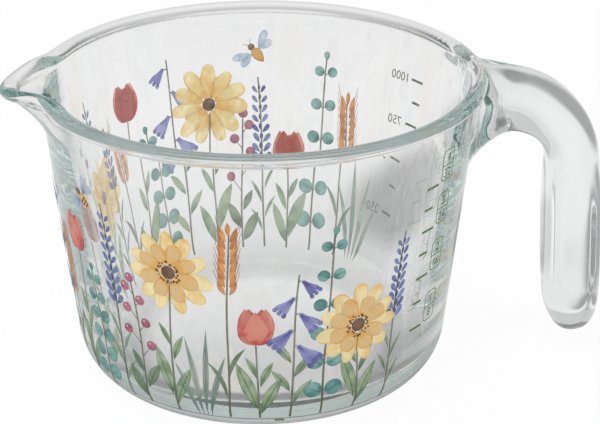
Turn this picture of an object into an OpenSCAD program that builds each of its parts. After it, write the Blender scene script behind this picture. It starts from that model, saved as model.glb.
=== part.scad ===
// Measuring jug of pressed clear glass with an open handle, a pouring spout and a fired enamel print.
// Millimetres. The origin is on the bowl's axis at table level, +Z up, handle at +X, spout at -X.

/* [Bowl] */
// Height of the rim above the table
jug_h = 112.4; // [95:1:135]
// Outer radius of the wall where its line meets the table
foot_r = 64.2; // [56:0.1:76]
// Lean of the wall's outside, in degrees out from upright
wall_lean = 7; // [3:0.5:10]
// Lean of the wall's inside, more than outside, so that the wall is thicker lower down
inner_lean = 10.8; // [10:0.1:12]
// Thickness of the wall at the rim
wall = 4.2; // [3.4:0.1:5.2]
// Thickness of the floor
floor_t = 9; // [6:0.5:12]
// Radius of the rounded heel, outside
heel_r = 20; // [14:1:24]
// Radius between floor and wall, inside
inner_heel_r = 6; // [4:0.5:12]

/* [Rim] */
// How far the rim bead stands out past the wall
bead_out = 2.4; // [1.2:0.1:3]
// Radius of the hollow below the bead
bead_fillet_r = 2.5; // [1.5:0.1:4]

/* [Spout] */
// Reach of the lip past the rim
spout_reach = 11.2; // [7:0.5:16]
// Half of the angle that the spout takes up
spout_half = 34; // [28:1:42]
// Sharpness of the lip in plan, higher is narrower
spout_power = 7; // [4:0.5:9]
// Height of the flare from the wall to the rim
spout_flare = 17; // [13:0.5:22]
// Hollowness of the flare, higher is more hollow
flare_power = 1.6; // [1.2:0.1:2.2]
// Rise of the two shoulders beside the lip
shoulder_rise = 2.6; // [0:0.2:4]
// Angle of the shoulders from the lip
shoulder_at = 14; // [10:1:18]
// Angle over which a shoulder rises and falls
shoulder_width = 8; // [5:0.5:11]

/* [Handle] */
// Clear gap between the wall and the grip
finger_gap = 31.9; // [26:0.5:38]
// Height of the centre of the arch above the gap
arch_z = 70.6; // [60:0.1:74]
// Thickness of the grip from front to back
grip_t = 18.3; // [16:0.2:24]
// Width of the grip from side to side
grip_w = 27; // [20:1:32]
// Width of the root where it meets the wall
root_w = 37; // [30:1:44]
// Outward lean of the grip towards its lower end, in degrees
grip_lean = 1.3; // [0:0.1:4]
// Depth of the handle's top below the rim, where it leaves the wall
top_drop = 0.5; // [0:0.1:4]
// Downward slope of the handle's top, in degrees
top_slope = 13; // [8:0.5:18]
// Radius of the handle's outer shoulder
shoulder_r = 36; // [28:0.5:42]
// Height of the handle's lower end above the table
tail_z = 5; // [3:0.5:20]

/* [Print] */
// Thickness of the fired enamel
ink = 0.15; // [0.1:0.01:0.3]
// Gap that keeps the enamel's faces clear of the glass
ink_gap = 0.01; // [0.005:0.005:0.05]
// Height where the meadow starts, on the heel
meadow_z = 9; // [7:0.5:16]
// Depth of the tallest plant's top below the rim
meadow_drop = 19.4; // [18:0.2:40]
// Width of a flower stem
stem_w = 0.7; // [0.5:0.1:1.2]
// Length of a daisy petal
daisy_petal = 12; // [8:0.5:14]
// Radius of a daisy's centre
daisy_centre = 3.6; // [2.4:0.1:5]
// Petals of a daisy
daisy_petals_n = 11; // [7:1:14]
// Length of a tulip petal
tulip_petal = 15; // [10:0.5:18]
// Length of a lavender floret
floret = 4.6; // [3:0.2:6]
// Radius of the largest coin leaf
coin_r = 3.1; // [2:0.1:3.2]
// Length of a wheat grain
grain = 6.4; // [4:0.2:8]
// Length of a bellflower
bell_len = 9; // [6:0.5:11]
// Radius of a berry
berry_r = 1.9; // [1.2:0.1:2.6]
// Length of a bee
bee_len = 9; // [6:0.5:12]

/* [Scales] */
// Depth of the top mark below the rim
top_mark_drop = 24.6; // [22:0.1:40]
// Labelled steps of equal volume up to the top mark
steps = 4; // [2:1:4]
// Thickness of a tick
tick_t = 0.9; // [0.5:0.1:1.4]
// Length of a tick at a labelled step
long_tick = 6.6; // [5:0.2:9]
// Length of a tick between steps
short_tick = 4.6; // [3:0.2:6]
// Angle from the handle to the outer end of the cup scale's ticks
cup_scale_at = -48.4; // [-60:0.2:-40]
// Angle from the handle to the inner end of the millilitre scale's ticks
ml_scale_at = 27; // [22:0.5:36]
// Width of a number tag
tag_w = 7.6; // [6:0.2:10]
// Height of a number tag
tag_h = 12; // [9:0.5:14]
// Line width of a number tag
tag_line = 0.4; // [0.3:0.05:0.7]

/* [Hidden] */
$fn = 96;

// Wall lines: radius outside and inside at a height; the inside line touches the rim bead
lean_tan = tan(wall_lean);
lean_cos = cos(wall_lean);
function wall_out(z) = foot_r + z * lean_tan;
function wall_in(z) = bead_c - bead_r / cos(inner_lean) + (z - bead_z) * tan(inner_lean);

// Rim bead: a round edge that runs smoothly into the inner wall
bead_r = (wall + bead_out * lean_cos) / (1 + lean_cos);
bead_z = jug_h - bead_r;
bead_c = wall_out(bead_z) + bead_out - bead_r;
// The hollow below the bead touches both the wall and the bead
bead_depth = (wall_out(bead_z) - bead_c) * lean_cos;
hollow_drop = sqrt(pow(bead_r + bead_fillet_r, 2) - pow(bead_fillet_r + bead_depth, 2));
hollow_turn = atan2(hollow_drop, bead_fillet_r + bead_depth);
hollow_z = bead_z - hollow_drop * lean_cos - (bead_fillet_r + bead_depth) * sin(wall_lean);
hollow_c = bead_c + (bead_fillet_r + bead_depth) * lean_cos - hollow_drop * sin(wall_lean);

// Round heels, outside and inside
heel_c = foot_r + heel_r * lean_tan - heel_r / lean_cos;
inner_z = floor_t + inner_heel_r;
inner_c = wall_in(inner_z) - inner_heel_r / cos(inner_lean);

// The rim is cut open for the spout, from just below its flare
flare_z = jug_h - spout_flare;
ring_z = flare_z - 2;
ring_steps = 6;
// The spout is let into the cut by this depth, and its faces lie this far inside the rim's
let_in = 1.5;
let_in_gap = 0.04;

function arc(c, z, r, from, to, n) =
    [for (i = [0:n]) let (a = from + (to - from) * i / n) [c + r * cos(a), z + r * sin(a)]];

// Edge of the rim, from the wall's outside over the bead to its inside, grown by a margin
hollow_end = hollow_z + bead_fillet_r * sin(wall_lean);
bead_end = bead_z + bead_r * sin(inner_lean);
bead_turn = -wall_lean - hollow_turn;
function rim_edge(grow) = concat(
    arc(hollow_c, hollow_z, bead_fillet_r - grow, 180 - wall_lean, 180 - wall_lean - hollow_turn, 4),
    arc(bead_c, bead_z, bead_r + grow, bead_turn + 8, 180 - inner_lean, 14));

// Section of the bowl from the axis out, up the wall, over the rim and back along the inside
heel_steps = 12;
function heel_edge(grow) = arc(heel_c, heel_r, heel_r + grow, -90, -wall_lean, heel_steps);
bowl_section = concat(
    [[0, 0]],
    heel_edge(0),
    rim_edge(0),
    arc(inner_c, inner_z, inner_heel_r, -inner_lean, -90, 10),
    [[0, floor_t]]);

// Section of the rim where the spout starts, a hair inside the bowl's
low_z = ring_z - let_in;
spout_section = concat(
    [for (i = [0:ring_steps - 1])
        let (z = low_z + (hollow_end - low_z) * i / ring_steps) [wall_out(z) - let_in_gap, z]],
    rim_edge(-let_in_gap),
    [for (i = [1:ring_steps])
        let (z = bead_end + (low_z - bead_end) * i / ring_steps) [wall_in(z) + let_in_gap, z]]);

// Spout: how far a point of the rim moves out and up, by its angle from the lip and its height
function lip_share(a) = pow(max(cos(90 * a / spout_half), 0), spout_power);
function shoulder_share(a) =
    exp(-pow((abs(a) - shoulder_at) / shoulder_width, 2)) * sqrt(max(cos(90 * a / spout_half), 0));
function flare_share(z) = pow(min(max((z - flare_z) / (bead_z - flare_z), 0), 1), flare_power);
function spout_point(p, a) =
    let (f = flare_share(p[1]), r = p[0] + spout_reach * f * lip_share(a))
    [r * cos(180 + a), r * sin(180 + a), p[1] + shoulder_rise * f * shoulder_share(a)];

// Triangles that shut a ring of n points: a fan for a round ring, rungs for a thin band that folds back
function fan(n) = [for (j = [1:n - 2]) [0, j, j + 1]];
function rungs(n) = [for (j = [0:n / 2 - 2]) each [[j, j + 1, n - 2 - j], [j, n - 2 - j, n - 1 - j]]];

// A closed skin over rings of points, each ring with as many points
module loft(rings, shut) {
    n = len(rings[0]);
    last = len(rings) - 1;
    points = [for (r = rings) each r];
    skin = [for (i = [0:last - 1], j = [0:n - 1])
        let (a = i * n + j, b = i * n + (j + 1) % n)
        each [[a, b, b + n], [a, b + n, a + n]]];
    first_end = [for (f = shut) [f[2], f[1], f[0]]];
    last_end = [for (f = shut) [for (k = f) last * n + k]];
    polyhedron(points = points, faces = concat(skin, first_end, last_end), convexity = 8);
}

spout_spans = 28;
module spout() {
    turns = [for (i = [0:spout_spans]) spout_half * (2 * i / spout_spans - 1)];
    loft([for (a = turns) [for (p = spout_section) spout_point(p, a)]], rungs(len(spout_section)));
}

// The opening in the rim that the spout fills
module spout_window() {
    edge = spout_half - asin(let_in / wall_out(ring_z));
    rotate([0, 0, 180 - edge])
    rotate_extrude(angle = 2 * edge)
    translate([wall_in(ring_z) / 2, ring_z])
    square([wall_out(jug_h), jug_h]);
}

// Handle: an arch over the finger gap that runs into an upright grip with a round end
bite = 15;
arch_r = finger_gap / (1 + cos(bite));
arch_x = wall_out(arch_z) + arch_r * cos(bite);
seat = wall * 0.6;
root_turn = 166;
top_turn = 90 - top_slope;
section_n = 28;
roundness = 2.6;

function smooth(x) = let (t = min(max(x, 0), 1)) t * t * (3 - 2 * t);
function bow(c) = sign(c) * pow(abs(c), 2 / roundness);

// Outer side of the handle: a sloping top line, a round shoulder and the back of the grip
back_x = arch_x + arch_r + grip_t;
top_z = jug_h - top_drop;
turn_x = back_x - shoulder_r;
turn_z = top_z - (shoulder_r - cos(top_turn) * (wall_out(top_z) - turn_x)) / sin(top_turn);

// Distance from the arch's centre to the handle's outer side along a ray, which ends inside the wall
function outer_side(turn) =
    let (dx = cos(turn), dz = sin(turn), ex = arch_x - turn_x, ez = arch_z - turn_z,
         along = ex * dx + ez * dz,
         round_end = sqrt(along * along - ex * ex - ez * ez + shoulder_r * shoulder_r) - along,
         hit = atan2(ez + round_end * dz, ex + round_end * dx),
         line_end = (shoulder_r - cos(top_turn) * ex - sin(top_turn) * ez) / cos(turn - top_turn),
         arm = hit > top_turn ? line_end : hit < 0 ? (back_x - arch_x) / dx : round_end,
         down = dz * lean_tan - dx,
         reach = (arch_x - wall_out(arch_z) + seat) / max(down, 0.01))
    down > 0.01 ? min(arm, reach) : arm;

function arch_ring(turn) =
    let (far = outer_side(turn), mid = (arch_r + far) / 2, half = (far - arch_r) / 2,
         near_wall = smooth((turn - 74) / 40),
         side = grip_w / 2 + (root_w - grip_w) / 2 * near_wall * near_wall)
    [for (k = [0:section_n - 1])
        let (a = 360 * k / section_n, t = mid + half * bow(cos(a)), y = side * bow(sin(a)),
             z = arch_z + t * sin(turn), r = wall_out(z))
        [arch_x + t * cos(turn) - near_wall * (r - sqrt(r * r - y * y)), y, z]];

grip_x = arch_x + arch_r + grip_t / 2;
end_r = grip_t / 2;
function grip_ring(z, share) =
    let (x = grip_x + (arch_z - z) * tan(grip_lean))
    [for (k = [0:section_n - 1])
        let (a = 360 * k / section_n)
        [x + share * grip_t / 2 * bow(cos(a)), share * grip_w / 2 * bow(sin(a)), z]];

module handle() {
    arch = [for (turn = [root_turn:-6:4]) arch_ring(turn)];
    shaft = [for (i = [0:3]) grip_ring(arch_z - (arch_z - tail_z - end_r) * i / 3, 1)];
    tail = [for (a = [18:18:72]) grip_ring(tail_z + end_r * (1 - sin(a)), pow(cos(a), 0.8))];
    tip = [grip_ring(tail_z, 0.25)];
    loft(concat(arch, shaft, tail, tip), fan(section_n));
}

module glass_jug() {
    color([0.83, 0.91, 0.89, 0.45])
    union() {
        difference() {
            rotate_extrude() polygon(bowl_section);
            spout_window();
        }
        spout();
        handle();
    }
}

// Height of the liquid for a volume in millilitres, from the inside of the bowl
function inside_r(z) =
    z > inner_z - inner_heel_r * sin(inner_lean)
        ? wall_in(z)
        : inner_c + sqrt(pow(inner_heel_r, 2) - pow(inner_z - z, 2));
slices = 40;
function volume_to(z) =
    let (dz = (z - floor_t) / slices,
         areas = [for (i = [0.5:slices]) PI * pow(inside_r(floor_t + i * dz), 2)])
    areas * [for (a = areas) dz / 1000];
function level(ml, low = floor_t, high = jug_h, tries = 18) =
    let (mid = (low + high) / 2)
    tries == 0 ? mid : volume_to(mid) < ml ? level(ml, mid, high, tries - 1) : level(ml, low, mid, tries - 1);

// Enamel film: what is drawn on the wall and heel, cut to a thin skin. Each colour's layer lies on the last
grain_layer = 1;
petal_layer = 2;
bell_layer = 3;
film_top = hollow_end - 2;
bare_heel = floor(heel_steps / 3);
module film(layer = 0) {
    skin = ink_gap + layer * (ink + ink_gap);
    inner = heel_edge(skin);
    outer = heel_edge(skin + ink);
    kept = [for (i = [bare_heel:heel_steps]) i];
    high = wall_out(film_top) + skin / lean_cos;
    intersection() {
        rotate_extrude()
        polygon(concat(
            [for (i = kept) outer[i]],
            [[high + ink / lean_cos, film_top], [high, film_top]],
            [for (i = kept) inner[heel_steps + bare_heel - i]]));
        union() children();
    }
}

// A flat shape set on the wall, u to the right and v up, drawn deep enough for its own height
draw_depth = 6;
module on_wall(turn, z, tall = 0) {
    depth = draw_depth + 2 * tall * lean_tan;
    rotate([0, 0, turn])
    translate([wall_out(z) - depth / 2, 0, z])
    rotate([90, 0, 90])
    linear_extrude(depth)
    children();
}

// Meadow plants: kind, angle from the handle, share of the tallest plant, how far the top leans sideways
meadow = [
    ["lavender", -57, 0.79, 2], ["daisy", -68, 0.6, -3], ["coin", -79, 0.86, 2],
    ["bell", -88.5, 0.69, 2], ["tulip", -98, 0.55, -2], ["wheat", -107, 0.88, 2],
    ["grass", -114.5, 0.43, 0], ["daisy", -124, 0.86, 3], ["berry", -134, 0.58, -2],
    ["lavender", -142, 0.9, -2], ["coin", -151, 0.55, -2], ["tulip", -160, 0.79, 2],
    ["wheat", -169, 0.62, -2], ["bell", -178, 0.86, -2], ["grass", -186, 0.5, 0],
    ["berry", -194, 0.93, 2], ["daisy", -204, 0.67, -2], ["lavender", -214, 0.95, 2],
    ["wheat", -222, 0.74, 2], ["tulip", -231, 0.95, -2], ["coin", -240, 0.69, 2],
    ["bell", -249.5, 1, 2], ["daisy", -260, 0.95, -2], ["berry", -270, 0.69, -2],
    ["lavender", -278, 0.88, 2], ["tulip", -287, 0.64, 2], ["coin", -296, 0.98, -2],
    ["wheat", -306.5, 0.79, 2], ["grass", -314, 0.48, 0]];
meadow_h = jug_h - meadow_drop - meadow_z;
plants = [for (m = meadow) [m[0], m[1], m[2] * meadow_h, m[3]]];

// Sideways place of a plant's stem at a height above the meadow's foot
function stem_u(p, v) = p[3] * pow(v / p[2], 2);
function around(u, z) = u / wall_out(z) * 180 / PI;
module at(p, v, u = 0) {
    z = meadow_z + v;
    on_wall(p[1] + around(stem_u(p, v) + u, z), z) children();
}

// A pointed oval that grows up from the origin
module leaf(l, w) {
    r = (l * l + w * w) / (4 * w);
    intersection() {
        translate([r - w / 2, l / 2]) circle(r);
        translate([w / 2 - r, l / 2]) circle(r);
    }
}

stem_clear = stem_w / 2 + 0.3;
daisy_head = daisy_centre + daisy_petal;

// Height at which a plant's stem ends, just under its head
function stem_end(p) =
    p[0] == "daisy" ? p[2] - daisy_head - 0.3
    : p[0] == "tulip" ? p[2] - tulip_petal - 0.3
    : p[2] - 0.3;

function ribbon(p, v0, v1, n) =
    [for (side = [-1, 1], i = [0:n])
        let (v = side < 0 ? v0 + (v1 - v0) * i / n : v1 + (v0 - v1) * i / n)
        [stem_u(p, v) + side * stem_w / 2, v]];

// Berry twigs: height on the stem, side and length
twigs = 6;
function twig_v(p, k) = p[2] * (0.4 + 0.5 * k / (twigs - 1));
function twig_side(k) = k % 2 == 0 ? 1 : -1;
function twig_l(k) = 7.5 - 0.7 * k;

module flower_stems() {
    color([0.46, 0.44, 0.38])
    film() {
        for (p = plants)
            if (p[0] != "grass")
                on_wall(p[1], meadow_z, p[2]) polygon(ribbon(p, 0, stem_end(p), 6));
        for (p = plants, k = [0:twigs - 1])
            if (p[0] == "berry")
                at(p, twig_v(p, k))
                rotate(-40 * twig_side(k))
                translate([-stem_w / 4, 0])
                square([stem_w / 2, twig_l(k) - berry_r - 0.2]);
    }
}

module daisy_petals() {
    color([0.93, 0.78, 0.36])
    film(petal_layer)
    for (p = plants)
        if (p[0] == "daisy")
            at(p, p[2] - daisy_head)
            for (i = [0:daisy_petals_n - 1])
                rotate(360 * i / daisy_petals_n)
                translate([0, daisy_centre + 0.2])
                leaf(daisy_petal, 1.5 * PI * daisy_head / daisy_petals_n * 0.72);
}

module daisy_centres() {
    color([0.42, 0.27, 0.14])
    film(petal_layer)
    for (p = plants)
        if (p[0] == "daisy")
            at(p, p[2] - daisy_head) circle(daisy_centre);
}

module tulip_petals() {
    color([0.78, 0.3, 0.27])
    film(petal_layer)
    for (p = plants)
        if (p[0] == "tulip")
            at(p, p[2] - tulip_petal)
            for (turn = [-20, 0, 20])
                rotate(turn) leaf(tulip_petal, tulip_petal * 0.52);
}

// Leaves on a flower's stem: share of its height, side and length
stem_leaves = [[0.05, 1, 17], [0.1, -1, 20], [0.3, 1, 11], [0.38, -1, 9]];
module leaf_blades() {
    color([0.45, 0.55, 0.4])
    film()
    for (p = plants, b = stem_leaves)
        if (p[0] == "daisy" || p[0] == "tulip")
            at(p, p[2] * b[0], b[1] * stem_clear)
            rotate(-b[1] * 18)
            leaf(b[2], b[2] * 0.22);
}

florets = 7;
module lavender_florets() {
    color([0.38, 0.45, 0.68])
    film(grain_layer)
    for (p = plants, k = [0:florets - 1], side = [-1, 1])
        if (p[0] == "lavender")
            at(p, p[2] * (0.5 + 0.48 * k / florets), side * stem_clear)
            rotate(-side * 38)
            leaf(floret, floret * 0.4);
}

coins = 6;
module coin_leaves() {
    color([0.36, 0.58, 0.54])
    film(grain_layer)
    for (p = plants, k = [0:coins - 1], side = [-1, 1])
        if (p[0] == "coin") {
            r = coin_r * (1 - 0.45 * k / coins);
            at(p, p[2] * (0.16 + 0.78 * k / (coins - 1)), side * (r + stem_clear + 0.4)) circle(r);
        }
}

grains = 7;
grain_pitch = grain * 0.52;
module wheat_ears() {
    color([0.86, 0.6, 0.28])
    film(grain_layer)
    for (p = plants, k = [0:grains - 1], side = [-1, 1])
        if (p[0] == "wheat")
            at(p, p[2] - (grains - k) * grain_pitch, side * stem_clear)
            rotate(-side * 30)
            leaf(grain, grain * 0.24);
}

// A bell that grows up from the origin to its open mouth
module bell(l, w, n = 8) {
    polygon([for (side = [-1, 1], i = [0:n])
        let (share = side < 0 ? i / n : 1 - i / n)
        [side * w / 2 * (0.3 + 0.7 * pow(sin(90 * share), 2)), l * share]]);
}
bells = 5;
bell_turn = 138;
module bellflowers() {
    color([0.44, 0.42, 0.66])
    film(bell_layer)
    for (p = plants, k = [0:bells - 1])
        if (p[0] == "bell") {
            side = k % 2 == 0 ? 1 : -1;
            at(p, p[2] * (0.52 + 0.44 * k / (bells - 1)), side * (stem_clear + 0.6))
            rotate(-side * bell_turn)
            bell(bell_len * (1 - 0.08 * k), bell_len * (0.7 - 0.05 * k));
        }
}

module berries() {
    color([0.56, 0.3, 0.42])
    film(bell_layer)
    for (p = plants, k = [0:twigs])
        if (p[0] == "berry")
            if (k < twigs) {
                a = 40 * twig_side(k);
                at(p, twig_v(p, k) + twig_l(k) * cos(a), twig_l(k) * sin(a)) circle(berry_r);
            } else {
                at(p, p[2] + berry_r) circle(berry_r);
            }
}

// Grass blades: angle of each and its share of the tuft's height
blades = [[-16, 0.62], [-7, 0.9], [2, 1], [11, 0.74]];
blade_w = 2.2;
// A long slim leaf that grows up from the origin
module blade(l, w, n = 8) {
    polygon([for (side = [-1, 1], i = [0:n - 1])
        let (share = side < 0 ? i / n : 1 - i / n)
        [side * w / 2 * sin(180 * share), l * share]]);
}
module grass_blades() {
    color([0.55, 0.62, 0.55])
    film()
    for (p = plants, b = blades)
        if (p[0] == "grass")
            on_wall(p[1] + b[0] / 7, meadow_z, p[2])
            rotate(-b[0])
            blade(p[2] * b[1], blade_w);
}

// Bees: angle from the handle, height as a share of the tallest plant, turn of the body
bees = [[-151, 0.89, 50], [-276, 0.99, -40]];
module at_bee(b) {
    on_wall(b[0], meadow_z + b[1] * meadow_h) rotate(b[2]) children();
}
module bee_bodies() {
    color([0.72, 0.52, 0.24])
    film(petal_layer)
    for (b = bees)
        at_bee(b) translate([0, -bee_len / 2]) leaf(bee_len, bee_len * 0.5);
}

module bee_wings() {
    color([0.66, 0.72, 0.78])
    film(petal_layer)
    for (b = bees, side = [-1, 1], turn = [62, 100])
        at_bee(b)
        translate([side * bee_len * 0.27, bee_len * 0.08])
        rotate(-side * turn)
        leaf(bee_len * 0.8, bee_len * 0.32);
}

// Volume of one labelled step on each scale, in millilitres: a cup, and a quarter of a litre in proportion
cup_ml = volume_to(jug_h - top_mark_drop) / steps;
quarter_ml = cup_ml * 250 / 236.6;
// Scale ticks at every half step from the first labelled step up, longer at a labelled one
half_steps = [for (k = [2:2 * steps]) k];
function tick_len(k) = k % 2 == 0 ? long_tick : short_tick;
module ticks(turn, step_ml) {
    film()
    for (k = half_steps)
        on_wall(turn, level(k * step_ml / 2)) translate([0, -tick_t / 2]) square([tick_len(k), tick_t]);
}

module cup_scale_ticks() {
    color([0.33, 0.44, 0.2]) ticks(cup_scale_at, cup_ml);
}

module millilitre_scale_ticks() {
    color([0.3, 0.36, 0.3]) ticks(ml_scale_at, quarter_ml);
}

module round_box(w, h, r) {
    translate([r, 0]) square([w - 2 * r, h]);
    translate([0, r]) square([w, h - 2 * r]);
    for (x = [r, w - r], y = [r, h - r])
        translate([x, y]) circle(r);
}

tag_r = 2;
tag_gap = 1.2;
module cup_scale_tags() {
    color([0.4, 0.5, 0.3])
    film()
    for (k = [1:steps]) {
        z = level(k * cup_ml);
        on_wall(cup_scale_at + around(long_tick + tag_gap + tag_w / 2, z), z) {
            translate([-tag_w / 2, 0])
            difference() {
                round_box(tag_w, tag_h, tag_r);
                translate([tag_line, tag_line])
                round_box(tag_w - 2 * tag_line, tag_h - 2 * tag_line, tag_r - tag_line);
            }
            translate([-tag_w / 2, (tag_h - tag_line) / 2]) square([tag_w, tag_line]);
        }
    }
}

glass_jug();
flower_stems();
daisy_petals();
daisy_centres();
tulip_petals();
leaf_blades();
lavender_florets();
coin_leaves();
wheat_ears();
bellflowers();
berries();
grass_blades();
bee_bodies();
bee_wings();
cup_scale_ticks();
cup_scale_tags();
millilitre_scale_ticks();
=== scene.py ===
import bpy
import math
import random
import numpy as np
from mathutils import Matrix, Vector


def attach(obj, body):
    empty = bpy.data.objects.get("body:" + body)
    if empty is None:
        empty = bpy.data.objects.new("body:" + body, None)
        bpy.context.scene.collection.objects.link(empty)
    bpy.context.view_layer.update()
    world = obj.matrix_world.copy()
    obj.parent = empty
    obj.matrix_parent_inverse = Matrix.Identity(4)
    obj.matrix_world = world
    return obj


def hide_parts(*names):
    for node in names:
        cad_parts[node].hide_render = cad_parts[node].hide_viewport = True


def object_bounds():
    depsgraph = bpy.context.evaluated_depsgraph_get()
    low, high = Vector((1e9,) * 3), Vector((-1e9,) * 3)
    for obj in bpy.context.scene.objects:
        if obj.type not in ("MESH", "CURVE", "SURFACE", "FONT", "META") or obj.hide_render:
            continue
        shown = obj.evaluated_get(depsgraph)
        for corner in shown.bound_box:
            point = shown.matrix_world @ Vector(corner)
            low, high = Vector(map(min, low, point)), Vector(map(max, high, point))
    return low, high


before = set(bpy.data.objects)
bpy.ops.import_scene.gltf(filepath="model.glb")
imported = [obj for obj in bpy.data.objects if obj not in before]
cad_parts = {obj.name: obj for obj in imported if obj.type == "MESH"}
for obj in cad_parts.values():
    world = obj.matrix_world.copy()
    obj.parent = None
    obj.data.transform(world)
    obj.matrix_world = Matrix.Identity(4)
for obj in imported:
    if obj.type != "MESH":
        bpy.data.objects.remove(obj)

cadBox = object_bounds()  # the box that every piece stays in
mm = 0.001
scene = bpy.context.scene
scene.view_settings.view_transform = "Standard"
insideBounces = 96  # light runs down inside the wall from the rim to the heel
filmBounces = 24    # films that light passes in a row
scene.cycles.max_bounces = insideBounces
scene.cycles.transmission_bounces = insideBounces
scene.cycles.glossy_bounces = insideBounces
scene.cycles.transparent_max_bounces = filmBounces
scene.cycles.use_denoising = True
scene.cycles.blur_glossy = 0.0  # the far print is lit through clear glass, not frosted


# camera, as far and as high as the photo's
shot = {
    "elevation": 23.6,
    "azimuth": -7.0,       # the handle points a little away from the lens
    "distance": 900.0,     # mm, from the point on the bowl's axis
    "aimHeight": 60.0,     # mm
    "aimPixel": (261.0, 208.5), "focalPixels": 2502.0, "roll": -0.53, "imageSize": (600, 424),
    "sensor": 36.0,
}


def tanCosSin(degrees):
    turn = math.radians(degrees)
    return math.tan(turn), math.cos(turn), math.sin(turn)


def placeCamera():
    _, upCos, upSin = tanCosSin(shot["elevation"])
    _, aroundCos, aroundSin = tanCosSin(shot["azimuth"])
    _, rollCos, rollSin = tanCosSin(shot["roll"])
    forward = Vector((-aroundSin * upCos, aroundCos * upCos, -upSin))
    right = Vector((aroundCos, aroundSin, 0))
    top = right.cross(forward)
    spot = Vector((0, 0, shot["aimHeight"])) - forward * shot["distance"]
    wide, high = shot["imageSize"]
    dx = wide / 2 - shot["aimPixel"][0]
    dy = high / 2 - shot["aimPixel"][1]
    imageRight = right * rollCos + top * rollSin
    imageUp = top * rollCos - right * rollSin
    look = (forward + (imageRight * dx - imageUp * dy) / shot["focalPixels"]).normalized()
    xAxis = (imageRight - look * imageRight.dot(look)).normalized()
    yAxis = xAxis.cross(look)
    optics = bpy.data.cameras.new("camera")
    optics.sensor_fit = "HORIZONTAL"
    optics.sensor_width = shot["sensor"]
    optics.lens = shot["focalPixels"] / wide * shot["sensor"]
    camera = bpy.data.objects.new("camera", optics)
    turned = Matrix((xAxis, yAxis, -look)).transposed().to_4x4()
    camera.matrix_world = Matrix.Translation(spot * mm) @ turned
    scene.collection.objects.link(camera)
    scene.camera = camera


placeCamera()
print("camera placed")


# shared measures of the bowl, mm
bowl = {
    "height": 112.4, "footRadius": 64.2, "lean": 7.0,
    "innerLean": 10.8,  # the wall is thicker lower down
    "wall": 4.2,        # at the rim
    "floor": 12.3, "heel": 20.0, "innerHeel": 7.2, "beadOut": 2.4,
    "beadRise": 2.2,    # half the height of the roll at the rim, which is a little flat
    "beadHollow": 1.6,
}
leanTan, leanCos, leanSin = tanCosSin(bowl["lean"])
innerTan, innerCos, innerSin = tanCosSin(bowl["innerLean"])
beadRadius = (bowl["wall"] + bowl["beadOut"] * leanCos) / (1 + leanCos)
beadZ = bowl["height"] - beadRadius
beadCentre = bowl["footRadius"] + beadZ * leanTan + bowl["beadOut"] - beadRadius
heelCentre = bowl["footRadius"] + bowl["heel"] * leanTan - bowl["heel"] / leanCos
innerZ = bowl["floor"] + bowl["innerHeel"]


def wallOut(z):
    return bowl["footRadius"] + z * leanTan


def wallIn(z):
    return beadCentre - beadRadius / innerCos + (z - beadZ) * innerTan


innerCentre = wallIn(innerZ) - bowl["innerHeel"] / innerCos
# the roll touches the inner wall's line and keeps the bead's reach
rollZ = bowl["height"] - bowl["beadRise"]
rollOff = beadCentre - wallIn(rollZ)
rollLean = bowl["beadRise"] * innerTan
rollShift = (beadRadius ** 2 - rollOff ** 2 + rollLean ** 2) / (2 * (rollOff + beadRadius))
rollHalf = beadRadius - rollShift
rollCentre = beadCentre + rollShift

spout = {
    "reach": 11.2,
    "half": 34.0,        # degrees each side of the lip
    "power": 7.0, "flareHeight": 17.0, "flarePower": 1.6, "shoulderRise": 2.6, "shoulderAt": 14.0,
    "shoulderWidth": 8.0,
}

handle = {
    "gap": 31.9, "archZ": 70.6, "thick": 18.3, "width": 27.0,
    "gripLean": 1.3,       # degrees out towards the lower end
    "topDrop": 0.5, "topSlope": 13.0, "shoulder": 36.0, "tailZ": 5.0, "bite": 15.0,
    "rootWidth": 37.0,
    "roundness": 2.6,      # 2 is an ellipse, higher is squarer
    "gripRoundness": 6.5,  # along the straight part
    "endRise": 12.5,       # height of the round lower end
    "squareTop": (6.0, 24.0),   # mm above the arch's centre where squareness starts, over what length
    "squareTail": (6.0, 26.0),  # the same above the tail
    "rootTurn": (74.0, 40.0),   # degrees round the arch where the root starts to widen, and for how many
    "rootFillet": 9.0,
    "filletUnder": 9.0,         # mm below the top line where the fillet is full
    "filletUp": (4.0, 14.0),    # mm above the arch's centre where it starts, over what length
    "leastFillet": 0.6,
    "filletClear": 0.5,         # mm from the inside that stay as the bowl has them
    "leastHalf": 1.0,
}
_, biteCos, _ = tanCosSin(handle["bite"])
_, topCos, topSin = tanCosSin(90 - handle["topSlope"])
gripTan, _, _ = tanCosSin(handle["gripLean"])
archRadius = handle["gap"] / (1 + biteCos)
archX = wallOut(handle["archZ"]) + archRadius * biteCos
topZ = bowl["height"] - handle["topDrop"]
turnX = archX + archRadius + handle["thick"] - handle["shoulder"]
turnZ = topZ - (handle["shoulder"] - topCos * (wallOut(topZ) - turnX)) / topSin


def smooth(t):
    t = np.clip(t, 0, 1)
    return t * t * (3 - 2 * t)


def rising(value, start, over):
    return smooth((value - start) / over)


def cornerField(side, flat, u, v, radius, lean):
    # two lines that meet in a round corner: u and v run from the corner's centre
    turn = np.degrees(np.arctan2(v, u))
    atCorner = (turn > -90) & (turn < -lean)
    return np.where(atCorner, np.hypot(u, v) - radius, np.maximum(side, flat))


def joinRound(a, b, radius):
    # union of two forms with a fillet between them
    inA = np.maximum(radius - a, 0)
    inB = np.maximum(radius - b, 0)
    return np.maximum(radius, np.minimum(a, b)) - np.hypot(inA, inB)


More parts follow.
